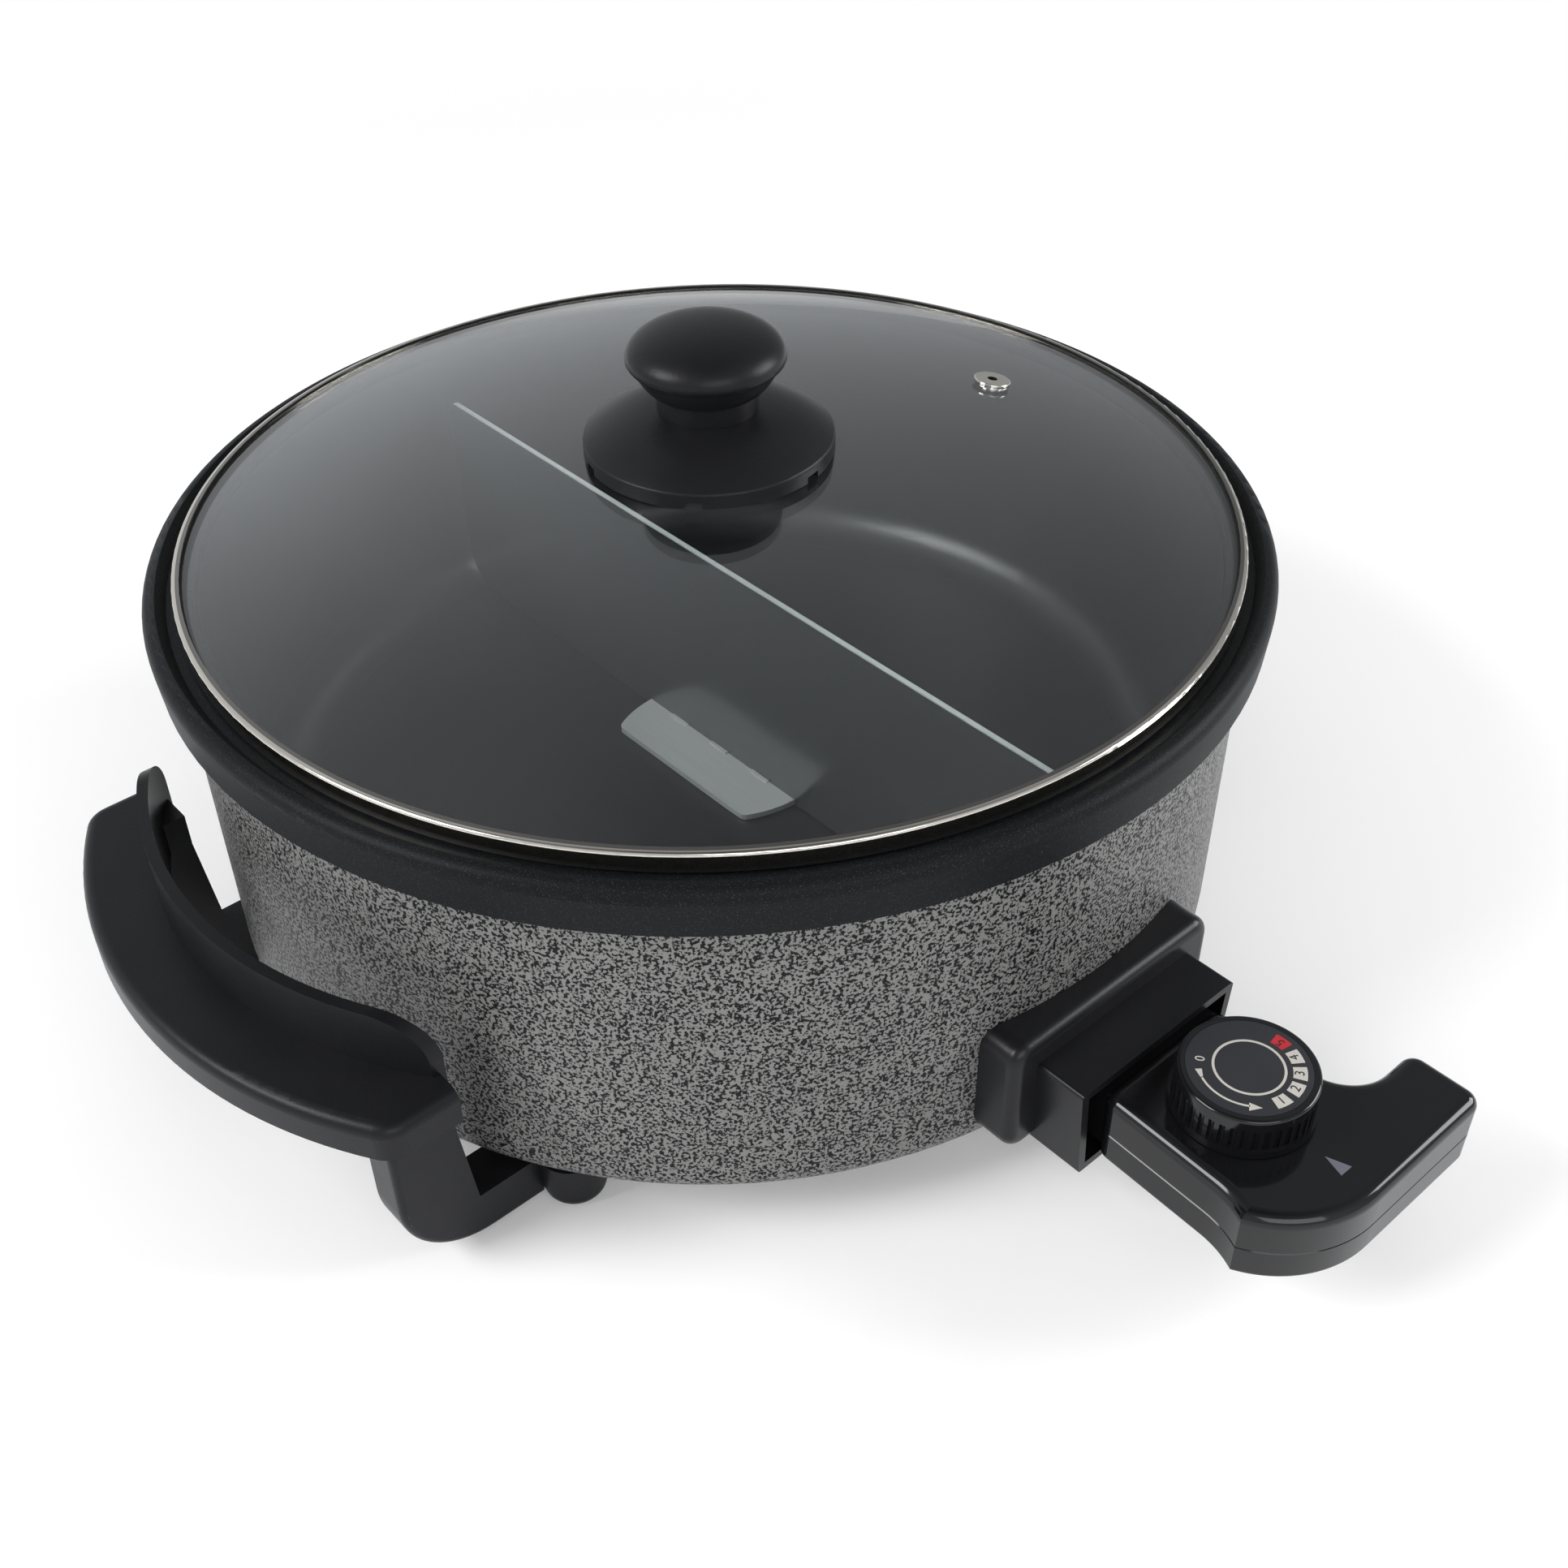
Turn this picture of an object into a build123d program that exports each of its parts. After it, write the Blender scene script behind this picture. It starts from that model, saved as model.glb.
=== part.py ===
from build123d import *
import os
from math import asin, atan2, cos, degrees, hypot, radians, sin, sqrt

# An electric grill pan: a round two-walled pan on two handles that are also its legs, a glass lid that
# lifts off, a loose divider, and a thermostat control that plugs into a socket in the side.
# Millimetres, +Z up. The pan's axis is Z, the table is at zero and the socket faces -Y.

# Fits that the whole part shares
overrun = 5.0
seat_gap = 0.1
free_gap = 0.4

# Cooking pan and its rim
rim_radius = 165.0
rim_top = 135.0
rim_height = 14.5
rim_wall = 3.0
rim_draft = 1.2
rim_shoulder = 4.0
rim_lip = 4.5
lip_slope = 2.5
ledge_drop = 3.0
ledge_width = 9.0
pan_depth = 90.0
pan_floor = 4.0
pan_wall = 3.0
pan_draft = 5.0
cove_radius = 14.0

# Outer casing
rim_overhang = 7.0
casing_bottom = 16.5
casing_wall = 1.2
casing_corner = 9.0

# Feet, and the screws that clamp legs, casing and pan together
foot_inset = 13.2
foot_angle = 32.5
foot_radius = 9.0
foot_height = 6.0
foot_round = 3.0
lug_radius = 10.0
screw_radius = 2.1
screw_bite = 14.0
screw_head_radius = 4.0
screw_head = 2.6
head_recess = 4.4
boss_wall = 2.2

# Handles
handle_standout = 43.6
fence_standout = 20.8
grip_top = 69.0
grip_thickness = 11.0
grip_curve_share = 1.77
grip_overhang = 7.7
grip_corner = 9.0
grip_round = 3.5
fence_curve_share = 1.48
fence_inset = 8.5
fence_wall = 3.2
fence_height = 18.3
fence_corner = 14.0
leg_setback = 1.9
leg_depth = 23.0
leg_lean = 4.5
leg_width = 14.0
leg_lift = 1.0
leg_heel = 26.0
leg_round = 2.0
lug_lead = 2.5

# Heating element, its terminals and the probe's guide
element_radius = 4.0
element_ring_share = 0.625
element_bend = 15.0
element_setback = 10.0
pin_offset = 14.0
pin_radius = 3.0
pin_proud = 12.0
insulator_wall = 2.3
insulator_proud = 1.5
guide_bore = 3.4
guide_length = 84.0
guide_setback = 4.0
earth_rise = 8.5
earth_width = 7.0
earth_thickness = 1.6
earth_proud = 10.0

# Socket on the casing
flange_width = 80.0
flange_height = 39.0
flange_rise = 6.5
flange_stand = 8.0
flange_corner = 6.0
flange_round = 3.5
collar_taper = 2.4
collar_height = 32.5
collar_rise = 1.25
collar_length = 15.6
collar_wall = 2.6
collar_round = 1.2
pocket_sink = 1.0
window_margin = 1.5
plate_setback = 6.8
plate_thickness = 2.0
plate_height = 24.0
plate_corner = 3.0
socket_screw_margin = 0.6
socket_screw_radius = 1.7
socket_head_radius = 2.9
socket_head = 1.8

# Thermostat control
control_gap = 0.5
control_rise = 14.0
control_height = 23.0
control_length = 67.4
control_half = 24.0
control_wall = 2.5
control_round = 3.5
control_base_round = 1.5
control_flare = 1.2
tip_out = 3.0
tip_setback = 19.0
flare_setback = 31.0
front_start = 3.0
arm_length = 25.5
arm_width = 22.5
arm_hollow = 14.0
arm_corner = 4.5
seam_drop = 13.0
seam_bevel = 0.3
neck_half = 22.0
neck_length = 13.0
neck_below_top = 1.5
neck_height = 19.0
sleeve_wall = 1.1
sleeve_length = 20.0
probe_radius = 3.0
probe_setback = 8.0
clip_width = 9.0
clip_thickness = 1.2
clip_length = 12.0
post_radius = 3.4
post_inset = 3.0
post_back = 12.0
control_screw_radius = 1.4
control_screw_bite = 9.0
control_head_radius = 2.5
control_head = 1.6
switch_width = 26.0
switch_depth = 24.0
switch_headroom = 2.5
bush_radius = 6.0
bush_bore = 3.6
bush_length = 13.5
bush_proud = 1.5
bush_collar_radius = 7.2
bush_collar = 2.0

# Dial on the control
dial_setback = 26.0
dial_shift = 1.0
dial_radius = 18.4
dial_base_radius = 19.4
dial_base = 2.4
dial_height = 12.6
dial_round = 1.0
flute_radius = 0.8
flute_height = 6.5
flute_count = 40
face_radius = 16.2
face_thickness = 0.6
shaft_radius = 3.0
shaft_flat = 0.8
shaft_socket = 5.0

# Lid
band_gap = 4.6
band_wall = 1.0
band_cover = 2.4
glass_thickness = 4.0
glass_rise = 22.2
vent_circle = 102.4
vent_angle = -9.5
vent_hole_radius = 4.0
vent_flange_radius = 5.8
vent_flange = 0.8
vent_bore = 1.6
vent_wall = 0.5
knob_screw_radius = 2.5
knob_screw_bite = 13.0
knob_head_radius = 4.6
knob_head = 2.4
gasket_radius = 13.0
gasket_thickness = 1.2
washer_radius = 14.0
washer_thickness = 2.0
guard_radius = 36.3
guard_edge = 4.3
guard_rise = 8.3
guard_wall = 2.5
guard_hub = 12.0
guard_crown = 1.6
guard_round = 1.0
notch_width = 5.0
notch_height = 2.0
notch_count = 6
notch_turn = 43.0
knob_neck_radius = 14.5
knob_neck = 5.7
knob_neck_flare = 0.4
knob_ridge_radius = 21.6
knob_ridge = 7.8
knob_step = 0.4
knob_radius = 22.8
knob_under = 2.0
knob_crown = 9.8
knob_dome_share = 0.56

# Divider
divider_drop = 18.0
divider_clearance = 4.0
divider_thickness = 1.6
divider_corner = 6.0
divider_foot_radius = 36.0
divider_foot_width = 36.0
divider_foot_thickness = 2.0
divider_foot_corner = 3.0
tab_length = 8.0
tab_pitch = 20.0
tab_bead = 1.2

# Levels and radii that several pieces share
ledge_top = rim_top - ledge_drop
rim_foot = rim_top - rim_height
floor_top = rim_top - pan_depth
floor_under = floor_top - pan_floor
lip_radius = rim_radius - rim_lip
ledge_radius = lip_radius - lip_slope
mouth_radius = ledge_radius - ledge_width
well_radius = mouth_radius - pan_draft
plate_radius = well_radius - cove_radius
element_ring = well_radius * element_ring_share
casing_radius = rim_radius - rim_overhang
casing_inside = casing_radius - casing_wall
casing_top = ledge_top - rim_wall
casing_floor = casing_bottom + casing_wall
plate_reach = casing_inside - plate_setback
element_end = plate_reach - element_setback
guide_outer_end = plate_reach - guide_setback
guide_inner_end = guide_outer_end - guide_length
probe_tip = guide_inner_end + probe_setback
foot_circle = casing_radius - foot_inset
foot_x = foot_circle * cos(radians(foot_angle))
foot_y = foot_circle * sin(radians(foot_angle))
foot_points = [(side * foot_x, end * foot_y) for side in (-1, 1) for end in (-1, 1)]
screw_hole = screw_radius + seat_gap
screw_tip = casing_floor + screw_bite
terminal_height = floor_under - element_radius
pin_points = [(-pin_offset, terminal_height), (pin_offset, terminal_height)]
insulator_radius = pin_radius + seat_gap + insulator_wall
insulator_hole = insulator_radius + seat_gap
flange_front = casing_radius + flange_stand
collar_front = flange_front + collar_length
pin_tip = flange_front + pin_proud
earth_tip = flange_front + earth_proud
pocket_floor = flange_front - pocket_sink
socket_screw_offset = pin_offset + insulator_hole + socket_screw_margin + socket_head_radius
collar_half = socket_screw_offset + socket_head_radius + free_gap + collar_wall + collar_taper
socket_screw_points = [(-socket_screw_offset, terminal_height), (socket_screw_offset, terminal_height)]
socket_screw_hole = socket_screw_radius + seat_gap
control_back = collar_front + control_gap
control_front = control_back + control_length
arm_reach = control_half + arm_length
tip_reach = control_half + control_flare + tip_out
control_top = terminal_height + control_rise
control_bottom = control_top - control_height
control_seam = control_top - seam_drop
neck_end = control_back - neck_length
neck_top = control_top - neck_below_top
neck_bottom = neck_top - neck_height
dial_centre = (dial_shift, -control_back - dial_setback)
dial_bottom = control_top + free_gap
dial_top = dial_bottom + dial_height
band_radius = ledge_radius - lip_slope + (rim_lip - band_gap)
band_bottom = ledge_top + free_gap
glass_edge = band_radius - band_wall - seat_gap
glass_edge_top = band_bottom + band_wall + seat_gap + glass_thickness
glass_sphere = (glass_edge**2 + glass_rise**2) / (2 * glass_rise)
glass_crown = glass_edge_top + glass_rise
glass_centre = glass_crown - glass_sphere


def glass_top(radius):
    return glass_centre + sqrt(glass_sphere**2 - radius**2)


def write(piece, name):
    piece.part.label = name
    export_step(piece.part, f"parts/{name}.step")


os.makedirs("parts", exist_ok=True)

# Cooking pan: drawn wall with a cove and four screw bosses, closed by a cast floor and topped by a rolled rim
def pan_hollow():
    with BuildSketch(mode=Mode.PRIVATE) as hollow:
        with BuildLine():
            Polyline(
                (0, floor_top),
                (well_radius, floor_top),
                (mouth_radius, ledge_top),
                (mouth_radius, ledge_top + overrun),
                (0, ledge_top + overrun),
                close=True,
            )
        make_face()
        fillet(hollow.vertices().sort_by_distance((well_radius, floor_top))[0], cove_radius)
    return hollow.sketch


with BuildPart() as cooking_pan:
    with BuildSketch(Plane.XZ) as pan_outside:
        with BuildLine():
            Polyline(
                (plate_radius + seat_gap, floor_under),
                (well_radius + pan_wall, floor_under),
                (mouth_radius + pan_wall, casing_top),
                (plate_radius + seat_gap, casing_top),
                close=True,
            )
        make_face()
        under_corner = (well_radius + pan_wall, floor_under)
        fillet(pan_outside.vertices().sort_by_distance(under_corner)[0], cove_radius + pan_wall)
    revolve(axis=Axis.Z)
    with BuildSketch(Plane.XY.offset(casing_floor + free_gap)):
        with Locations(*foot_points):
            Circle(screw_radius + boss_wall)
    extrude(amount=floor_top + cove_radius - casing_floor - free_gap)
    with BuildSketch(Plane.XZ):
        add(pan_hollow())
    revolve(axis=Axis.Z, mode=Mode.SUBTRACT)
    with BuildSketch(Plane.XY.offset(casing_floor)):
        with Locations(*foot_points):
            Circle(screw_hole)
    extrude(amount=screw_bite + overrun, mode=Mode.SUBTRACT)
write(cooking_pan, "cooking_pan")

with BuildPart() as heater_plate:
    with BuildSketch(Plane.XY.offset(floor_under)):
        Circle(plate_radius)
    extrude(amount=pan_floor)
write(heater_plate, "heater_plate")

with BuildPart() as pan_rim:
    with BuildSketch(Plane.XZ) as rim_section:
        with BuildLine():
            Polyline(
                (well_radius, casing_top),
                (rim_radius - rim_wall, casing_top),
                (rim_radius - rim_wall, rim_foot),
                (rim_radius - rim_draft, rim_foot),
                (rim_radius, rim_top),
                (lip_radius, rim_top),
                (ledge_radius, ledge_top),
                (well_radius, ledge_top),
                close=True,
            )
        make_face()
        fillet(rim_section.vertices().sort_by_distance((rim_radius, rim_top))[0], rim_shoulder)
    revolve(axis=Axis.Z)
    with BuildSketch(Plane.XZ):
        add(pan_hollow())
    revolve(axis=Axis.Z, mode=Mode.SUBTRACT)
write(pan_rim, "pan_rim")

# Outer casing: pressed shell with a rounded bottom edge, a window for the terminals and screw holes
with BuildPart() as outer_casing:
    with BuildSketch(Plane.XZ) as casing_outside:
        with Locations((0, casing_bottom)):
            Rectangle(casing_radius, casing_top - casing_bottom, align=(Align.MIN, Align.MIN))
        fillet(casing_outside.vertices().sort_by_distance((casing_radius, casing_bottom))[0], casing_corner)
    revolve(axis=Axis.Z)
    with BuildSketch(Plane.XZ) as casing_hollow:
        with Locations((0, casing_floor)):
            Rectangle(casing_inside, casing_top - casing_bottom, align=(Align.MIN, Align.MIN))
        hollow_corner = (casing_inside, casing_floor)
        fillet(casing_hollow.vertices().sort_by_distance(hollow_corner)[0], casing_corner - casing_wall)
    revolve(axis=Axis.Z, mode=Mode.SUBTRACT)
    with BuildSketch(Plane.XZ.offset(casing_inside - flange_stand)):
        with Locations((0, terminal_height)):
            Rectangle(
                2 * (socket_screw_offset + socket_head_radius),
                2 * (earth_rise + earth_thickness + window_margin),
            )
    extrude(amount=2 * flange_stand, mode=Mode.SUBTRACT)
    with BuildSketch(Plane.XY.offset(casing_bottom)):
        with Locations(*foot_points):
            Circle(screw_hole)
    extrude(amount=casing_wall, mode=Mode.SUBTRACT)
write(outer_casing, "outer_casing")

# Heating element: a tube bent to a ring under the floor, with both ends brought out to the socket
bend_x = pin_offset + element_bend
bend_y = sqrt((element_ring + element_bend) ** 2 - bend_x**2)
join_x = bend_x * element_ring / (element_ring + element_bend)
join_y = bend_y * element_ring / (element_ring + element_bend)
bend_turn = degrees(atan2(bend_y, bend_x))
with BuildPart() as heating_element:
    with BuildLine(Plane.XY.offset(terminal_height)) as element_path:
        Line((pin_offset, -element_end), (pin_offset, -bend_y))
        CenterArc((bend_x, -bend_y), element_bend, 180, -(180 - (180 - bend_turn)))
        ThreePointArc((join_x, -join_y), (0, element_ring), (-join_x, -join_y))
        CenterArc((-bend_x, -bend_y), element_bend, bend_turn, -bend_turn)
        Line((-pin_offset, -bend_y), (-pin_offset, -element_end))
    with BuildSketch(Plane.XZ.offset(element_end)):
        with Locations((pin_offset, terminal_height)):
            Circle(element_radius)
    sweep(path=element_path.wire())
write(heating_element, "heating_element")

with BuildPart() as terminal_pins:
    with BuildSketch(Plane.XZ.offset(element_end)):
        with Locations(*pin_points):
            Circle(pin_radius)
    extrude(amount=pin_tip - element_end)
    tips = terminal_pins.faces().filter_by(Axis.Y).group_by(Axis.Y)[0].edges()
    chamfer(tips, pin_radius / 3)
write(terminal_pins, "terminal_pins")

# Ceramic bushes that carry the pins through the backing plate and the socket's floor
with BuildPart() as terminal_insulators:
    with BuildSketch(Plane.XZ.offset(plate_reach - plate_thickness)):
        with Locations(*pin_points):
            Circle(insulator_radius)
            Circle(pin_radius + seat_gap, mode=Mode.SUBTRACT)
    extrude(amount=pocket_floor + insulator_proud - plate_reach + plate_thickness)
write(terminal_insulators, "terminal_insulators")

# Probe guide: a tube brazed under the floor between the element's two ends
with BuildPart() as probe_guide:
    with BuildSketch(Plane.XZ.offset(guide_inner_end)):
        with Locations((0, terminal_height)):
            Circle(element_radius)
            Circle(guide_bore, mode=Mode.SUBTRACT)
    extrude(amount=guide_outer_end - guide_inner_end)
write(probe_guide, "probe_guide")

# Backing plate inside the casing, which the socket's screws pull against
plate_half = sqrt(casing_inside**2 - plate_reach**2) - free_gap
with BuildPart() as socket_backing_plate:
    with BuildSketch(Plane.XZ.offset(plate_reach - plate_thickness)):
        with Locations((0, terminal_height)):
            RectangleRounded(2 * plate_half, plate_height, plate_corner)
            Circle(guide_bore, mode=Mode.SUBTRACT)
        with Locations(*pin_points):
            Circle(insulator_hole, mode=Mode.SUBTRACT)
        with Locations(*socket_screw_points):
            Circle(socket_screw_hole, mode=Mode.SUBTRACT)
    extrude(amount=plate_thickness)
write(socket_backing_plate, "socket_backing_plate")

with BuildPart() as earth_prong:
    with BuildSketch(Plane.XZ.offset(plate_reach)) as prong_section:
        with Locations((0, terminal_height + earth_rise)):
            Rectangle(earth_width, earth_thickness)
    extrude(amount=earth_tip - plate_reach)
    prong_tip = earth_prong.faces().sort_by(Axis.Y)[0].edges().filter_by(Axis.X)
    chamfer(prong_tip, earth_thickness / 4)
write(earth_prong, "earth_prong")

# Socket: flange that hugs the casing, with a collar open to the front that narrows towards its bottom
collar_top = terminal_height + collar_rise + collar_height / 2
collar_bottom = collar_top - collar_height


def collar_outline(inset):
    with BuildSketch(mode=Mode.PRIVATE) as outline:
        with BuildLine():
            Polyline(
                (-collar_half, collar_top),
                (collar_half, collar_top),
                (collar_half - collar_taper, collar_bottom),
                (-collar_half + collar_taper, collar_bottom),
                close=True,
            )
        make_face()
        if inset:
            offset(amount=-inset, kind=Kind.INTERSECTION, mode=Mode.REPLACE)
        else:
            fillet(outline.vertices(), collar_round)
    return outline.sketch


with BuildPart() as socket_housing:
    with BuildSketch(Plane.XZ.offset(plate_reach + free_gap)):
        with Locations((0, terminal_height + flange_rise)):
            RectangleRounded(flange_width, flange_height, flange_corner)
    extrude(amount=flange_front - plate_reach - free_gap)
    fillet(socket_housing.faces().sort_by(Axis.Y)[0].edges(), flange_round)
    with BuildSketch(Plane.XZ.offset(plate_reach + free_gap)):
        add(collar_outline(0))
    extrude(amount=collar_front - plate_reach - free_gap)
    with BuildSketch(Plane.XZ.offset(pocket_floor)):
        add(collar_outline(collar_wall))
    extrude(amount=collar_length + pocket_sink + overrun, mode=Mode.SUBTRACT)
    with BuildSketch(Plane.XY):
        Circle(casing_radius + seat_gap)
    extrude(amount=rim_foot, mode=Mode.SUBTRACT)
    with BuildSketch(Plane.XZ.offset(plate_reach)):
        with Locations(*pin_points):
            Circle(insulator_hole)
        with Locations(*socket_screw_points):
            Circle(socket_screw_hole)
        with Locations((0, terminal_height)):
            Circle(probe_radius + free_gap)
        with Locations((0, terminal_height + earth_rise)):
            Rectangle(earth_width + free_gap, earth_thickness + free_gap)
    extrude(amount=pocket_floor + overrun - plate_reach, mode=Mode.SUBTRACT)
write(socket_housing, "socket_housing")

with BuildPart() as socket_screws:
    with BuildSketch(Plane.XZ.offset(plate_reach - plate_thickness)):
        with Locations(*socket_screw_points):
            Circle(socket_screw_radius)
    extrude(amount=pocket_floor - plate_reach + plate_thickness)
    with BuildSketch(Plane.XZ.offset(pocket_floor)):
        with Locations(*socket_screw_points):
            Circle(socket_head_radius)
    extrude(amount=socket_head)
    fillet(socket_screws.faces().group_by(Axis.Y)[0].edges(), socket_head / 2)
write(socket_screws, "socket_screws")

# Left handle: a curved grip with an upright fence towards the pan, on two angled legs with screw lugs
grip_bottom = grip_top - grip_thickness
leg_face = foot_y - lug_lead
leg_back = leg_face - leg_width
grip_half = leg_face + grip_overhang
fence_half = grip_half - fence_inset
grip_curve = grip_curve_share * grip_half
fence_curve = fence_curve_share * grip_half
grip_reach = casing_radius + handle_standout
fence_reach = casing_radius + fence_standout
grip_end = grip_reach - grip_curve + sqrt(grip_curve**2 - grip_half**2)
leg_outer = grip_end - leg_setback
leg_inner = leg_outer - leg_depth
leg_crown = leg_inner + leg_lean
cap_depth = leg_outer - leg_crown - grip_corner / 2
with BuildPart() as handle_fence:
    with BuildSketch(Plane.XY.offset(grip_bottom)):
        with Locations((fence_curve - fence_reach, 0)):
            Circle(fence_curve + fence_wall)
            Circle(fence_curve, mode=Mode.SUBTRACT)
        with Locations((-grip_reach, 0)):
            Rectangle(grip_reach, 2 * grip_half, align=(Align.MIN, Align.CENTER), mode=Mode.INTERSECT)
    extrude(amount=grip_thickness + fence_height)
    with BuildSketch(Plane.YZ.offset(-grip_reach)) as fence_front:
        with Locations((0, grip_bottom)):
            Rectangle(2 * fence_half, grip_thickness + fence_height, align=(Align.CENTER, Align.MIN))
        fillet(fence_front.vertices().group_by(Axis.Y)[-1], fence_corner)
    extrude(amount=grip_reach, mode=Mode.INTERSECT)

with BuildPart() as left_handle:
    with BuildSketch(Plane.XZ.offset(leg_back)) as leg_profile:
        with BuildLine():
            Polyline(
                (-leg_outer, leg_lift),
                (-leg_outer, grip_top - grip_round),
                (-leg_crown, grip_top - grip_round),
                (-leg_crown, grip_bottom),
                (-leg_inner, casing_bottom),
                (-foot_x, casing_bottom),
                (-foot_x, leg_lift),
                close=True,
            )
        make_face()
        fillet(leg_profile.vertices().sort_by_distance((-leg_outer, leg_lift))[0], leg_heel)
    extrude(amount=leg_width)
    heel = left_handle.edges().filter_by(GeomType.CIRCLE)
    outer_side = left_handle.edges().filter_by(Axis.Z).group_by(Axis.X)[0]
    fillet(heel + outer_side, leg_round)
    mirror(about=Plane.XZ)
    with BuildSketch(Plane.XY.offset(foot_height)):
        with Locations((-foot_x, -foot_y), (-foot_x, foot_y)):
            Circle(lug_radius)
    extrude(amount=casing_bottom - foot_height)
    with BuildSketch(Plane.XY.offset(grip_bottom)) as grip_outline:
        with Locations((grip_curve - grip_reach, 0)):
            Circle(grip_curve)
        with Locations((-grip_reach, 0)):
            grip_depth = grip_reach - leg_crown
            Rectangle(grip_depth, 2 * grip_half, align=(Align.MIN, Align.CENTER), mode=Mode.INTERSECT)
        fillet(grip_outline.vertices().group_by(Axis.X)[0], grip_corner)
        with Locations((fence_curve - fence_reach, 0)):
            Circle(fence_curve, mode=Mode.SUBTRACT)
        with Locations((-leg_crown, leg_back), (-leg_crown, -grip_half)):
            Rectangle(cap_depth, grip_half - leg_back, align=(Align.MAX, Align.MIN))
    extrude(amount=grip_thickness)
    grip_edges = left_handle.edges(Select.LAST)
    rounded = [
        edge
        for edge in grip_edges.group_by(Axis.Z)[-1] + grip_edges.group_by(Axis.Z)[0]
        if edge.center().X < -fence_reach - free_gap or abs(edge.center().Y) > grip_half - grip_corner / 2
    ]
    fillet(rounded, grip_round)
    add(handle_fence.part)
    with BuildSketch(Plane.XY):
        with Locations((-foot_x, -foot_y), (-foot_x, foot_y)):
            Circle(screw_hole)
    extrude(amount=casing_bottom + overrun, mode=Mode.SUBTRACT)
    with BuildSketch(Plane.XY):
        with Locations((-foot_x, -foot_y), (-foot_x, foot_y)):
            Circle(foot_radius + free_gap)
    extrude(amount=foot_height, mode=Mode.SUBTRACT)
write(left_handle, "left_handle")

with BuildPart() as right_handle:
    mirror(left_handle.part, about=Plane.YZ)
write(right_handle, "right_handle")

# Round feet under the lugs, each with a recess for its screw's head
with BuildPart() as round_feet:
    with BuildSketch(Plane.XY):
        with Locations(*foot_points):
            Circle(foot_radius)
    extrude(amount=foot_height)
    fillet(round_feet.faces().group_by(Axis.Z)[0].edges(), foot_round)
    with Locations(*[(x, y, 0) for x, y in foot_points]):
        with Locations(Rotation(180, 0, 0)):
            CounterBoreHole(screw_hole, screw_head_radius + free_gap, head_recess)
write(round_feet, "round_feet")

with BuildPart() as foot_screws:
    with BuildSketch(Plane.XY.offset(head_recess - screw_head)):
        with Locations(*foot_points):
            Circle(screw_head_radius)
    extrude(amount=screw_head)
    fillet(foot_screws.faces().group_by(Axis.Z)[0].edges(), screw_head / 3)
    with BuildSketch(Plane.XY.offset(head_recess)):
        with Locations(*foot_points):
            Circle(screw_radius)
    extrude(amount=screw_tip - head_recess)
write(foot_screws, "foot_screws")

# Lid: shallow glass dome in a folded steel band
edge_turn = degrees(asin(glass_edge / glass_sphere))
hole_turn = degrees(asin((knob_screw_radius + seat_gap) / glass_sphere))
vent_x = vent_circle * cos(radians(vent_angle))
vent_y = vent_circle * sin(radians(vent_angle))
vent_plane = Plane(
    origin=(vent_x, vent_y, glass_top(vent_circle)),
    z_dir=(vent_x, vent_y, glass_top(vent_circle) - glass_centre),
)
with BuildPart() as lid_glass:
    with BuildSketch(Plane.XZ):
        with BuildLine():
            upper = CenterArc((0, glass_centre), glass_sphere, 90 - edge_turn, edge_turn - hole_turn)
            lower = PolarLine(upper @ 1, -glass_thickness, 90)
            under = ThreePointArc(
                lower @ 1,
                (glass_edge / 2, glass_top(glass_edge / 2) - glass_thickness),
                (glass_edge, glass_edge_top - glass_thickness),
            )
            Line(under @ 1, upper @ 0)
        make_face()
    revolve(axis=Axis.Z)
    with BuildSketch(vent_plane.offset(-glass_thickness)):
        Circle(vent_hole_radius)
    extrude(amount=glass_thickness, both=True, mode=Mode.SUBTRACT)
write(lid_glass, "lid_glass")

band_inner = band_radius - band_wall
cover_radius = band_radius - band_cover
with BuildPart() as lid_band:
    with BuildSketch(Plane.XZ) as band_section:
        with BuildLine():
            Polyline(
                (cover_radius, band_bottom),
                (band_radius, band_bottom),
                (band_radius, glass_edge_top + band_wall),
                (cover_radius, glass_top(cover_radius) + band_wall),
                (cover_radius, glass_top(cover_radius) + seat_gap),
                (band_inner, glass_top(glass_edge) + seat_gap),
                (band_inner, band_bottom + band_wall),
                (cover_radius, band_bottom + band_wall),
                close=True,
            )
        make_face()
        outer_corners = band_section.vertices().group_by(Axis.X)[-1]
        fillet(outer_corners, band_wall)
    revolve(axis=Axis.Z)
write(lid_band, "lid_band")

with BuildPart() as vent_eyelet:
    with BuildSketch(vent_plane.offset(seat_gap)):
        Circle(vent_flange_radius)
    extrude(amount=vent_flange)
    fillet(vent_eyelet.edges().filter_by(GeomType.CIRCLE).sort_by(Axis.Z)[-1], vent_flange / 2)
    with BuildSketch(vent_plane.offset(-glass_thickness)):
        Circle(vent_hole_radius - seat_gap)
    extrude(amount=glass_thickness + seat_gap)
    with BuildSketch(vent_plane.offset(-glass_thickness)):
        Circle(vent_hole_radius - seat_gap - vent_wall)
    extrude(amount=glass_thickness, mode=Mode.SUBTRACT)
    with BuildSketch(vent_plane.offset(-glass_thickness)):
        Circle(vent_bore)
    extrude(amount=glass_thickness + seat_gap + vent_flange + overrun, mode=Mode.SUBTRACT)
write(vent_eyelet, "vent_eyelet")

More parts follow.
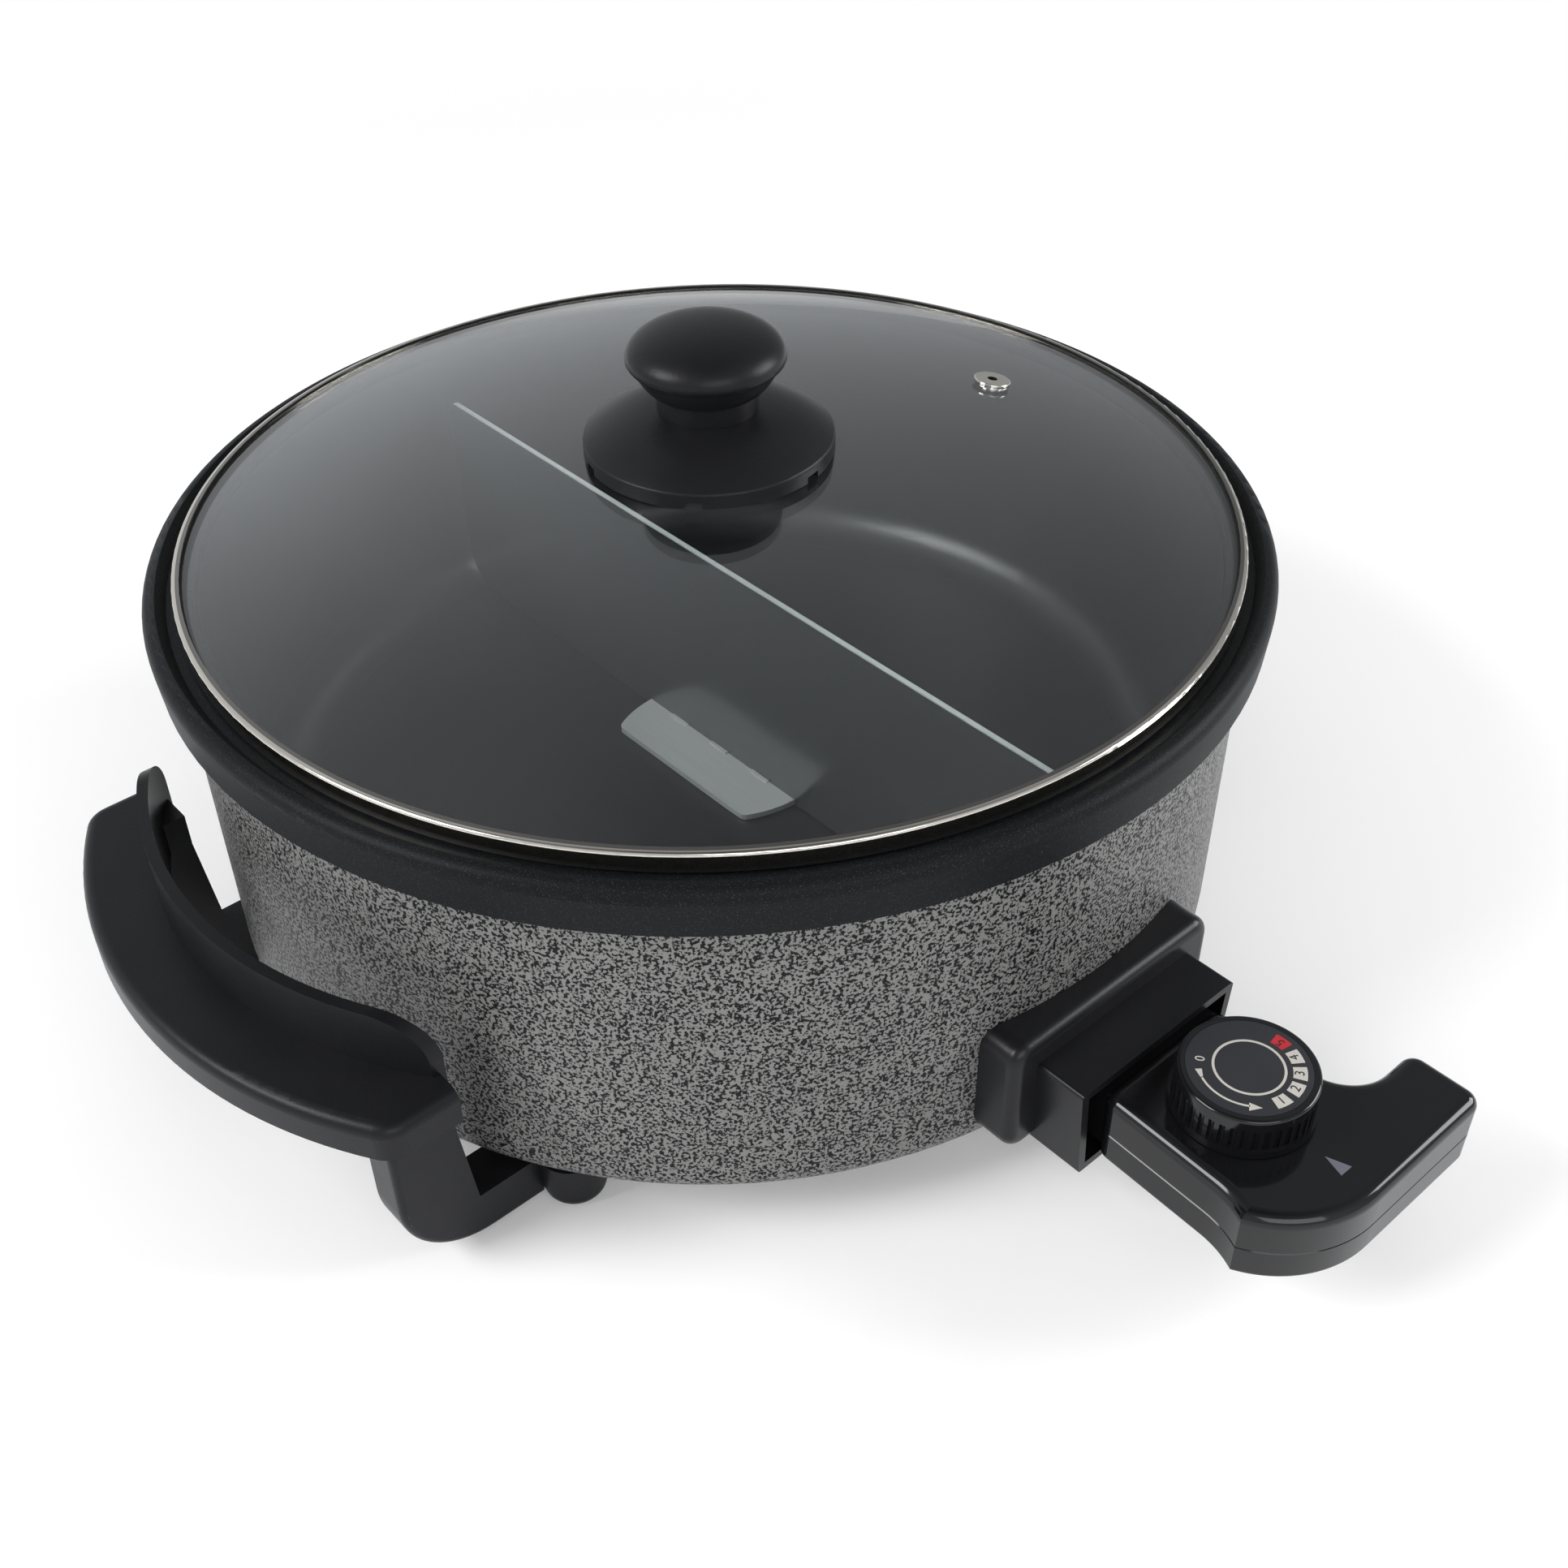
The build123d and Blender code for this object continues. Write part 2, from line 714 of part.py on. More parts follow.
# Knob stack: washer below the glass, gasket, heat guard, knob, and the screw that clamps them
gasket_foot = glass_crown
guard_hub_foot = gasket_foot + gasket_thickness
guard_foot = glass_top(guard_radius - guard_wall) + seat_gap
guard_shoulder = guard_foot + guard_edge
guard_top = guard_shoulder + guard_rise
glass_under = glass_top(washer_radius) - glass_thickness
washer_foot = glass_under - washer_thickness
knob_screw_hole = knob_screw_radius + seat_gap
with BuildPart() as knob_gasket:
    with BuildSketch(Plane.XY.offset(gasket_foot)):
        Circle(gasket_radius)
        Circle(knob_screw_hole, mode=Mode.SUBTRACT)
    extrude(amount=gasket_thickness)
write(knob_gasket, "knob_gasket")

with BuildPart() as knob_washer:
    with BuildSketch(Plane.XY.offset(washer_foot - seat_gap)):
        Circle(washer_radius)
        Circle(knob_screw_hole, mode=Mode.SUBTRACT)
    extrude(amount=washer_thickness)
    washer_rim = knob_washer.edges().group_by(Axis.Z)[0].sort_by(SortBy.LENGTH)[-1]
    fillet(washer_rim, washer_thickness / 2)
write(knob_washer, "knob_washer")

with BuildPart() as knob_guard:
    with BuildSketch(Plane.XZ) as guard_section:
        middle = (knob_neck_radius + guard_radius) / 2
        with BuildLine():
            ThreePointArc(
                (guard_radius, guard_shoulder),
                (middle, guard_shoulder + guard_rise / 2 + guard_crown),
                (knob_neck_radius, guard_top),
            )
            Polyline(
                (knob_neck_radius, guard_top),
                (knob_screw_hole, guard_top),
                (knob_screw_hole, guard_hub_foot),
                (guard_hub, guard_hub_foot),
                (guard_hub, guard_top - guard_wall),
                (knob_neck_radius, guard_top - guard_wall),
            )
            ThreePointArc(
                (knob_neck_radius, guard_top - guard_wall),
                (middle, guard_shoulder + guard_rise / 2 + guard_crown - guard_wall),
                (guard_radius - guard_wall, guard_shoulder - guard_wall / 2),
            )
            Polyline(
                (guard_radius - guard_wall, guard_shoulder - guard_wall / 2),
                (guard_radius - guard_wall, guard_foot),
                (guard_radius, guard_foot),
                (guard_radius, guard_shoulder),
            )
        make_face()
        fillet(guard_section.vertices().sort_by_distance((guard_radius, guard_shoulder))[0], guard_round)
    revolve(axis=Axis.Z)
    with BuildSketch(Plane.XY.offset(guard_foot - overrun)):
        with PolarLocations(guard_radius, notch_count, start_angle=notch_turn):
            Rectangle(4 * guard_wall, notch_width)
    extrude(amount=overrun + notch_height, mode=Mode.SUBTRACT)
write(knob_guard, "knob_guard")

knob_ridge_height = guard_top + knob_neck + knob_ridge
knob_widest = knob_ridge_height + knob_under
with BuildPart() as lid_knob:
    with BuildSketch(Plane.XZ):
        with BuildLine():
            Polyline(
                (0, knob_widest + knob_crown),
                (0, guard_top),
                (knob_neck_radius, guard_top),
                (knob_neck_radius + knob_neck_flare, guard_top + knob_neck),
            )
            Spline(
                (knob_neck_radius + knob_neck_flare, guard_top + knob_neck),
                (knob_ridge_radius - knob_step, knob_ridge_height),
                tangents=((2, 1), (1, 2)),
            )
            Line((knob_ridge_radius - knob_step, knob_ridge_height), (knob_ridge_radius, knob_ridge_height))
            Spline(
                (knob_ridge_radius, knob_ridge_height),
                (knob_radius, knob_widest),
                tangents=((1, 1), (0, 1)),
            )
            Bezier(
                (knob_radius, knob_widest),
                (knob_radius, knob_widest + knob_dome_share * knob_crown),
                (knob_dome_share * knob_radius, knob_widest + knob_crown),
                (0, knob_widest + knob_crown),
            )
        make_face()
    revolve(axis=Axis.Z)
    with BuildSketch(Plane.XY.offset(guard_top)):
        Circle(knob_screw_hole)
    extrude(amount=knob_screw_bite + free_gap, mode=Mode.SUBTRACT)
write(lid_knob, "lid_knob")

with BuildPart() as knob_screw:
    with BuildSketch(Plane.XY.offset(washer_foot - seat_gap - knob_head)):
        Circle(knob_head_radius)
    extrude(amount=knob_head)
    fillet(knob_screw.edges().group_by(Axis.Z)[0], knob_head / 2)
    with BuildSketch(Plane.XY.offset(washer_foot - seat_gap)):
        Circle(knob_screw_radius)
    extrude(amount=guard_top + knob_screw_bite - washer_foot + seat_gap)
write(knob_screw, "knob_screw")

# Divider: upright plate across the pan, tabbed into a foot that lies on the floor
divider_top = rim_top - divider_drop
divider_foot_under = floor_top + free_gap
divider_foot_top = divider_foot_under + divider_foot_thickness
wall_lean = pan_draft / (ledge_top - floor_top)
divider_low_half = well_radius - divider_clearance
divider_high_half = divider_low_half + wall_lean * (divider_top - floor_top)
tab_places = [-tab_pitch, 0, tab_pitch]
with BuildPart() as divider_plate:
    with BuildSketch(Plane.YZ.offset(-divider_thickness / 2)) as divider_outline:
        with BuildLine():
            Polyline(
                (-divider_low_half, divider_foot_under),
                (divider_low_half, divider_foot_under),
                (divider_high_half, divider_top),
                (-divider_high_half, divider_top),
                close=True,
            )
        make_face()
        fillet(divider_outline.vertices().group_by(Axis.Y)[0], cove_radius)
        fillet(divider_outline.vertices().group_by(Axis.Y)[-1], divider_corner)
        with Locations((0, divider_foot_under)):
            Rectangle(
                2 * (divider_foot_radius + free_gap),
                2 * divider_foot_thickness,
                mode=Mode.SUBTRACT,
            )
        with Locations(*[(place, divider_foot_under) for place in tab_places]):
            Rectangle(tab_length, divider_foot_thickness, align=(Align.CENTER, Align.MIN))
    extrude(amount=divider_thickness)
write(divider_plate, "divider_plate")

with BuildPart() as divider_foot:
    with BuildSketch(Plane.XY.offset(divider_foot_under)) as foot_outline:
        Circle(divider_foot_radius)
        Rectangle(divider_foot_width, 2 * divider_foot_radius, mode=Mode.INTERSECT)
        fillet(foot_outline.vertices(), divider_foot_corner)
    extrude(amount=divider_foot_thickness)
    with BuildSketch(Plane.XY.offset(divider_foot_top)):
        with Locations(*[(0, place) for place in tab_places]):
            Rectangle(divider_thickness + 2 * tab_bead, tab_length)
    extrude(amount=tab_bead / 2)
    with BuildSketch(Plane.XY.offset(divider_foot_under)):
        with Locations(*[(0, place) for place in tab_places]):
            Rectangle(divider_thickness + 2 * seat_gap, tab_length + 2 * seat_gap)
    extrude(amount=divider_foot_thickness + overrun, mode=Mode.SUBTRACT)
write(divider_foot, "divider_foot")

# Control housing: two halves of one outline, with a side that flares to a point and an arm for the cord
tip_point = (-tip_reach, -control_front + tip_setback)
flare_point = (-control_half - control_flare, -control_front + flare_setback)
arm_inside = -control_front + arm_width
inner_corner = (control_half, arm_inside)


def control_outline(inset):
    with BuildSketch(mode=Mode.PRIVATE) as outline:
        with BuildLine():
            flank = Line((-control_half, -control_back), flare_point)
            TangentArc(flare_point, tip_point, tangent=flank % 1)
            Polyline(
                (-control_half, -control_back),
                (control_half, -control_back),
                inner_corner,
                (arm_reach, arm_inside),
                (arm_reach, -control_front),
                (front_start, -control_front),
            )
            TangentArc((front_start, -control_front), tip_point, tangent=(-1, 0))
        make_face()
        fillet(outline.vertices().sort_by_distance(inner_corner)[0], arm_hollow)
        back_corners = outline.vertices().group_by(Axis.Y)[-1]
        arm_corners = outline.vertices().group_by(Axis.X)[-1]
        fillet(back_corners + arm_corners, arm_corner)
        if inset:
            offset(amount=-inset, mode=Mode.REPLACE)
    return outline.sketch


post_points = [
    (-control_half + control_wall + post_inset, -control_back - post_back),
    (control_half - control_wall - post_inset, -control_back - post_back),
    (-control_half + 2 * post_inset, -control_front + tip_setback),
    (arm_reach - bush_length - post_back, -control_front + arm_width / 2),
]
cord_y = -control_front + arm_width / 2


def contact_holes():
    with BuildSketch(mode=Mode.PRIVATE) as holes:
        with Locations(*pin_points):
            Circle(pin_radius + free_gap + sleeve_wall + seat_gap)
        with Locations((0, terminal_height)):
            Circle(probe_radius + seat_gap)
        with Locations((0, terminal_height + earth_rise)):
            Rectangle(clip_width + seat_gap, earth_thickness + 2 * (free_gap + clip_thickness + seat_gap))
    return holes.sketch


with BuildPart() as control_top_housing:
    with BuildSketch(Plane.XY.offset(control_seam)):
        add(control_outline(0))
    extrude(amount=seam_drop)
    fillet(control_top_housing.faces().sort_by(Axis.Z)[-1].edges(), control_round)
    chamfer(control_top_housing.faces().sort_by(Axis.Z)[0].edges(), seam_bevel)
    with BuildSketch(Plane.XY.offset(control_seam)):
        add(control_outline(control_wall))
    extrude(amount=seam_drop - control_wall, mode=Mode.SUBTRACT)
    with BuildSketch(Plane.XZ.offset(neck_end)):
        with Locations((0, control_seam)):
            Rectangle(2 * neck_half, neck_top - control_seam, align=(Align.CENTER, Align.MIN))
    extrude(amount=neck_length + control_wall)
    with BuildSketch(Plane.XY.offset(control_seam)):
        with Locations(*post_points):
            Circle(post_radius)
    extrude(amount=seam_drop - control_wall)
    with BuildSketch(Plane.XY.offset(control_seam)):
        with Locations(*post_points):
            Circle(control_screw_radius + seat_gap)
    extrude(amount=control_screw_bite, mode=Mode.SUBTRACT)
    with BuildSketch(Plane.XZ.offset(neck_end - overrun)):
        add(contact_holes())
    extrude(amount=neck_length + 2 * overrun + control_wall, mode=Mode.SUBTRACT)
    with BuildSketch(Plane.XY.offset(control_top - control_wall)):
        with Locations(dial_centre):
            Circle(shaft_radius + free_gap)
    extrude(amount=control_wall + overrun, mode=Mode.SUBTRACT)
    with BuildSketch(Plane.YZ.offset(arm_reach - control_wall)):
        with Locations((cord_y, control_seam)):
            Circle(bush_radius + seat_gap)
    extrude(amount=control_wall + overrun, mode=Mode.SUBTRACT)
write(control_top_housing, "control_top_housing")

with BuildPart() as control_bottom_housing:
    with BuildSketch(Plane.XY.offset(control_bottom)):
        add(control_outline(0))
    extrude(amount=control_seam - control_bottom)
    chamfer(control_bottom_housing.faces().sort_by(Axis.Z)[-1].edges(), seam_bevel)
    fillet(control_bottom_housing.faces().sort_by(Axis.Z)[0].edges(), control_base_round)
    with BuildSketch(Plane.XY.offset(control_bottom + control_wall)):
        add(control_outline(control_wall))
    extrude(amount=control_seam - control_bottom, mode=Mode.SUBTRACT)
    with BuildSketch(Plane.XZ.offset(neck_end)):
        with Locations((0, control_seam)):
            Rectangle(2 * neck_half, control_seam - neck_bottom, align=(Align.CENTER, Align.MAX))
    extrude(amount=neck_length + control_wall)
    with BuildSketch(Plane.XY.offset(control_bottom)):
        with Locations(*post_points):
            Circle(post_radius)
    extrude(amount=control_seam - control_bottom)
    with BuildSketch(Plane.XY.offset(control_bottom)):
        with Locations(*post_points):
            Circle(control_screw_radius + seat_gap)
    extrude(amount=control_seam - control_bottom, mode=Mode.SUBTRACT)
    with BuildSketch(Plane.XY.offset(control_bottom)):
        with Locations(*post_points):
            Circle(control_head_radius + seat_gap)
    extrude(amount=control_head + free_gap, mode=Mode.SUBTRACT)
    with BuildSketch(Plane.XZ.offset(neck_end - overrun)):
        add(contact_holes())
    extrude(amount=neck_length + 2 * overrun + control_wall, mode=Mode.SUBTRACT)
    with BuildSketch(Plane.YZ.offset(arm_reach - control_wall)):
        with Locations((cord_y, control_seam)):
            Circle(bush_radius + seat_gap)
    extrude(amount=control_wall + overrun, mode=Mode.SUBTRACT)
write(control_bottom_housing, "control_bottom_housing")

with BuildPart() as control_screws:
    with BuildSketch(Plane.XY.offset(control_bottom + free_gap)):
        with Locations(*post_points):
            Circle(control_head_radius)
    extrude(amount=control_head)
    with BuildSketch(Plane.XY.offset(control_bottom + free_gap + control_head)):
        with Locations(*post_points):
            Circle(control_screw_radius)
    extrude(amount=control_seam - control_bottom - free_gap - control_head + control_screw_bite - free_gap)
write(control_screws, "control_screws")

# Thermostat switch inside the housing, with the probe, the contacts and the dial's shaft
switch_back = -dial_centre[1] - switch_depth / 2
switch_top = control_top - control_wall - switch_headroom
with BuildPart() as thermostat_switch:
    with BuildSketch(Plane.XY.offset(control_bottom + control_wall)):
        with Locations(dial_centre):
            Rectangle(switch_width, switch_depth)
    extrude(amount=switch_top - control_bottom - control_wall)
    with BuildSketch(Plane.XY.offset(switch_top)):
        with Locations(dial_centre):
            Circle(shaft_radius + free_gap)
    extrude(amount=-shaft_socket - free_gap, mode=Mode.SUBTRACT)
write(thermostat_switch, "thermostat_switch")

with BuildPart() as probe_rod:
    with BuildSketch(Plane.XZ.offset(probe_tip)):
        with Locations((0, terminal_height)):
            Circle(probe_radius)
    extrude(amount=switch_back - probe_tip)
    fillet(probe_rod.edges().group_by(Axis.Y)[-1], probe_radius / 2)
write(probe_rod, "probe_rod")

with BuildPart() as contact_sleeves:
    with BuildSketch(Plane.XZ.offset(neck_end)):
        with Locations(*pin_points):
            Circle(pin_radius + free_gap + sleeve_wall)
            Circle(pin_radius + free_gap, mode=Mode.SUBTRACT)
    extrude(amount=sleeve_length)
write(contact_sleeves, "contact_sleeves")

with BuildPart() as earth_clip:
    with BuildSketch(Plane.XZ.offset(neck_end)):
        with Locations((0, terminal_height + earth_rise)):
            Rectangle(clip_width, earth_thickness + 2 * (free_gap + clip_thickness))
            Rectangle(clip_width, earth_thickness + 2 * free_gap, mode=Mode.SUBTRACT)
    extrude(amount=clip_length)
    with BuildSketch(Plane.XZ.offset(neck_end + clip_length)):
        with Locations((0, terminal_height + earth_rise)):
            Rectangle(clip_width, earth_thickness + 2 * (free_gap + clip_thickness))
    extrude(amount=clip_thickness)
write(earth_clip, "earth_clip")

with BuildPart() as cord_bush:
    with BuildSketch(Plane.YZ.offset(arm_reach + bush_proud - bush_length)):
        with Locations((cord_y, control_seam)):
            Circle(bush_radius)
    extrude(amount=bush_length)
    with BuildSketch(Plane.YZ.offset(arm_reach - control_wall - seat_gap)):
        with Locations((cord_y, control_seam)):
            Circle(bush_collar_radius)
    extrude(amount=-bush_collar)
    with BuildSketch(Plane.YZ.offset(arm_reach + bush_proud)):
        with Locations((cord_y, control_seam)):
            Circle(bush_bore)
    extrude(amount=-bush_length, mode=Mode.SUBTRACT)
write(cord_bush, "cord_bush")

# Dial: fluted knob on a flatted shaft, with a thin printed face let into its top
with BuildPart() as dial:
    with BuildSketch(Plane.XY.offset(dial_bottom)):
        with Locations(dial_centre):
            Circle(dial_base_radius)
    extrude(amount=dial_base)
    with BuildSketch(Plane.XY.offset(dial_bottom)):
        with Locations(dial_centre):
            Circle(dial_radius)
    extrude(amount=dial_height)
    fillet(dial.edges().group_by(Axis.Z)[-1], dial_round)
    with BuildSketch(Plane.XY.offset(dial_bottom + dial_base)):
        with Locations(dial_centre):
            with PolarLocations(dial_radius, flute_count):
                Circle(flute_radius)
    extrude(amount=flute_height, mode=Mode.SUBTRACT)
    with BuildSketch(Plane.XY.offset(dial_top - face_thickness)):
        with Locations(dial_centre):
            Circle(face_radius + seat_gap)
    extrude(amount=face_thickness, mode=Mode.SUBTRACT)
    with BuildSketch(Plane.XY.offset(dial_bottom)):
        with Locations(dial_centre):
            Circle(shaft_radius + seat_gap)
    extrude(amount=dial_height - 2 * face_thickness, mode=Mode.SUBTRACT)
write(dial, "dial")

with BuildPart() as dial_face:
    with BuildSketch(Plane.XY.offset(dial_top - face_thickness)):
        with Locations(dial_centre):
            Circle(face_radius)
    extrude(amount=face_thickness)
write(dial_face, "dial_face")

with BuildPart() as dial_shaft:
    with BuildSketch(Plane.XY.offset(switch_top - shaft_socket)):
        with Locations(dial_centre):
            Circle(shaft_radius)
            with Locations((shaft_radius - shaft_flat, 0)):
                Rectangle(shaft_radius, 2 * shaft_radius, align=(Align.MIN, Align.CENTER), mode=Mode.SUBTRACT)
    extrude(amount=dial_top - 2 * face_thickness - seat_gap - switch_top + shaft_socket)
write(dial_shaft, "dial_shaft")
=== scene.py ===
import math

import bpy
from mathutils import Matrix, Vector


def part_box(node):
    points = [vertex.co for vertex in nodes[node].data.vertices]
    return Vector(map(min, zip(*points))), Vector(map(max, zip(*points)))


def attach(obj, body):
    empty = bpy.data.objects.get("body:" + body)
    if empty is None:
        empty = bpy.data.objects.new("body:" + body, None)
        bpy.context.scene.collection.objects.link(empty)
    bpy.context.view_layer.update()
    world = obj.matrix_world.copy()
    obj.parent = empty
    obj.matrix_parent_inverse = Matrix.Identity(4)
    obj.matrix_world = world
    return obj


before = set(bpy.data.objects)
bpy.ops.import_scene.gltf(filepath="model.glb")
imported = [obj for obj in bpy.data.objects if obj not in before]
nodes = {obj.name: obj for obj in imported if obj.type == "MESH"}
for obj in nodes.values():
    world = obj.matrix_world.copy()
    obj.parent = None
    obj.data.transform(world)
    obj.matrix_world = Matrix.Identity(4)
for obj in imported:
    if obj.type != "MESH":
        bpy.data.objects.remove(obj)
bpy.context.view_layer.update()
print("frame loaded,", len(nodes), "nodes")


# shader maths as plain Python expressions
class Wire:
    def __init__(self, tree, socket):
        self.tree = tree
        self.socket = socket

    def maths(self, operation, left, right):
        made = self.tree.nodes.new("ShaderNodeMath")
        made.operation = operation
        for place, value in enumerate((left, right)):
            if isinstance(value, Wire):
                self.tree.links.new(value.socket, made.inputs[place])
            else:
                made.inputs[place].default_value = value
        return Wire(self.tree, made.outputs[0])

    def __add__(self, other):
        return self.maths("ADD", self, other)

    def __radd__(self, other):
        return self.maths("ADD", other, self)

    def __sub__(self, other):
        return self.maths("SUBTRACT", self, other)

    def __rsub__(self, other):
        return self.maths("SUBTRACT", other, self)

    def __mul__(self, other):
        return self.maths("MULTIPLY", self, other)

    def __rmul__(self, other):
        return self.maths("MULTIPLY", other, self)

    def __pow__(self, other):
        return self.maths("POWER", self, other)

    def __gt__(self, other):
        return self.maths("GREATER_THAN", self, other)

    def __lt__(self, other):
        return self.maths("LESS_THAN", self, other)

    def atLeast(self, least):
        return self.maths("MAXIMUM", self, least)

    def atMost(self, most):
        return self.maths("MINIMUM", self, most)


# a node tree to work on, for the finishes and for the world
class Bench:
    def __init__(self, tree):
        self.tree = tree

    # one way to make any node: its settings first, then its sockets' values or links
    def node(self, kind, settings=None, sockets=None, out=0):
        made = self.tree.nodes.new(kind)
        for key, value in (settings or {}).items():
            if key == "stops":
                ramp = made.color_ramp.elements
                while len(ramp) < len(value):
                    ramp.new(1.0)
                for stop, (place, shade) in zip(ramp, value):
                    stop.position = place
                    stop.color = (shade, shade, shade, 1.0)
            else:
                setattr(made, key, value)
        for key, value in (sockets or {}).items():
            self.feed(made.inputs[key], value)
        return Wire(self.tree, made.outputs[out])

    def feed(self, socket, value):
        if isinstance(value, Wire):
            self.tree.links.new(value.socket, socket)
        elif isinstance(value, tuple) and len(value) == 3 and socket.type == "RGBA":
            socket.default_value = (*value, 1.0)
        else:
            socket.default_value = value

    # a Mix node's colours are its inputs 6 and 7 and its output 2
    def blend(self, factor, first, second):
        return self.node("ShaderNodeMix", {"data_type": "RGBA"}, {0: factor, 6: first, 7: second}, out=2)

    def place(self, kind="Object"):
        return self.node("ShaderNodeTexCoord", out=kind)

    def axis(self, letter, kind="Object"):
        return self.node("ShaderNodeSeparateXYZ", None, {"Vector": self.place(kind)}, out=letter)

    def ray(self, name):
        return self.node("ShaderNodeLightPath", out=name)


class Finish(Bench):
    sockets = {
        "color": "Base Color", "rough": "Roughness", "metal": "Metallic", "normal": "Normal", "ior": "IOR",
        "shine": "Specular IOR Level", "glass": "Transmission Weight",
        "glow": "Emission Color", "glowLevel": "Emission Strength",
    }

    def __init__(self, name):
        self.material = bpy.data.materials.new(name)
        self.material.use_nodes = True
        super().__init__(self.material.node_tree)
        self.shader = self.tree.nodes["Principled BSDF"]

    def set(self, **values):
        for key, value in values.items():
            self.feed(self.shader.inputs[self.sockets[key]], value)
        return self.material

    # the shader so far, one shader laid over another by a factor, and the one that is shown
    def surface(self):
        return Wire(self.tree, self.shader.outputs[0])

    def layer(self, factor, first, second):
        return self.node("ShaderNodeMixShader", None, {0: factor, 1: first, 2: second})

    def show(self, shader):
        self.feed(self.tree.nodes["Material Output"].inputs["Surface"], shader)
        return self.material

    def grain(self, scale, detail=2.0, rough=0.5, stretch=None):
        spot = self.place()
        if stretch:
            spot = self.node("ShaderNodeMapping", None, {"Vector": spot, "Scale": stretch})
        return self.node("ShaderNodeTexNoise", None,
                         {"Vector": spot, "Scale": scale, "Detail": detail, "Roughness": rough})

    def cloud(self, scale):
        return self.grain(scale, detail=3.0)

    def ramp(self, value, stops):
        return self.node("ShaderNodeValToRGB", {"stops": stops}, {"Fac": value})

    def bump(self, height, strength, distance):
        return self.node("ShaderNodeBump", None,
                         {"Height": height, "Strength": strength, "Distance": distance})

    # how far a point is from the pan's upright axis, squared
    def reach(self):
        x = self.axis("X")
        y = self.axis("Y")
        return x * x + y * y


# camera where the photo was taken from, for a square picture
cameraSet = {
    "place": (-0.2939, -0.3668, 0.4169), "towards": (0.5087, 0.5823, -0.6342), "roll": -0.015,
    "lens": 41.943, "sensor": 36.0, "nearest": 0.01,
}


def makeCamera():
    data = bpy.data.cameras.new("photoCamera")
    data.lens = cameraSet["lens"]
    data.sensor_width = cameraSet["sensor"]
    data.clip_start = cameraSet["nearest"]
    forward = Vector(cameraSet["towards"]).normalized()
    right = forward.cross(Vector((0, 0, 1))).normalized()
    up = right.cross(forward)
    turn = cameraSet["roll"]
    across = right * math.cos(turn) + up * math.sin(turn)
    upright = up * math.cos(turn) - right * math.sin(turn)
    camera = bpy.data.objects.new("photoCamera", data)
    spin = Matrix((across, upright, -forward)).transposed().to_4x4()
    camera.matrix_world = Matrix.Translation(Vector(cameraSet["place"])) @ spin
    bpy.context.scene.collection.objects.link(camera)
    bpy.context.scene.camera = camera


makeCamera()
print("camera placed")


def shaded(tone, share):
    return tuple(shade * share for shade in tone)


# hammered paint of the casing: grey flecks that run together over black
paintSet = {
    "dark": (0.004, 0.004, 0.005), "pale": (0.215, 0.216, 0.210), "dusty": (0.165, 0.165, 0.162),
    "fleck": 1120.0, "fleckDetail": 1.5, "fineTimes": 2.3, "fineShare": 0.20,
    "edge": [(0.455, 0.0), (0.520, 1.0)],
    "cloud": 26.0, "cloudEdge": [(0.3, 0.85), (0.7, 1.0)],
    "fleckMetal": 0.3, "rough": 0.38, "fleckRough": 0.08, "shine": 0.12, "depth": 0.3, "relief": 0.0004,
}


def hammeredPaint():
    look = Finish("hammeredPaint")
    coarse = look.grain(paintSet["fleck"], paintSet["fleckDetail"])
    fine = look.grain(paintSet["fleck"] * paintSet["fineTimes"])
    mixed = coarse * (1.0 - paintSet["fineShare"]) + fine * paintSet["fineShare"]
    fleck = look.ramp(mixed, paintSet["edge"])
    cloud = look.ramp(look.grain(paintSet["cloud"]), paintSet["cloudEdge"])
    pale = look.blend(cloud, paintSet["dusty"], paintSet["pale"])
    return look.set(
        color=look.blend(fleck, paintSet["dark"], pale),
        metal=fleck * paintSet["fleckMetal"],
        rough=paintSet["rough"] + fleck * paintSet["fleckRough"],
        shine=paintSet["shine"],
        normal=look.bump(mixed, paintSet["depth"], paintSet["relief"]),
    )


# non-stick coats: grey satin in the well, blacker and grainier on the rim
coatSet = {
    "wellCoat": {"tone": (0.014, 0.0146, 0.0156), "rough": 0.30, "shine": 0.45, "speck": 0.0, "depth": 0.12},
    "rimCoat": {"tone": (0.0065, 0.0075, 0.0085), "rough": 0.42, "shine": 0.09, "speck": 0.35, "depth": 0.16},
    "cloud": 38.0, "worn": 0.75, "cloudRough": 0.08,
    "specks": 2600.0, "speckDetail": 1.0, "speckEdge": (0.60, 0.72), "speckTone": (0.07, 0.07, 0.075),
    "grain": 1900.0, "relief": 0.0003,
}


def nonStickCoat(name):
    made = coatSet[name]
    look = Finish(name)
    cloud = look.cloud(coatSet["cloud"])
    bare, full = coatSet["speckEdge"]
    specks = look.grain(coatSet["specks"], coatSet["speckDetail"])
    speck = look.ramp(specks, [(bare, 0.0), (full, made["speck"])])
    tone = look.blend(cloud, shaded(made["tone"], coatSet["worn"]), made["tone"])
    return look.set(
        color=look.blend(speck, tone, coatSet["speckTone"]),
        rough=made["rough"] + cloud * coatSet["cloudRough"],
        shine=made["shine"],
        normal=look.bump(look.grain(coatSet["grain"]), made["depth"], coatSet["relief"]),
    )


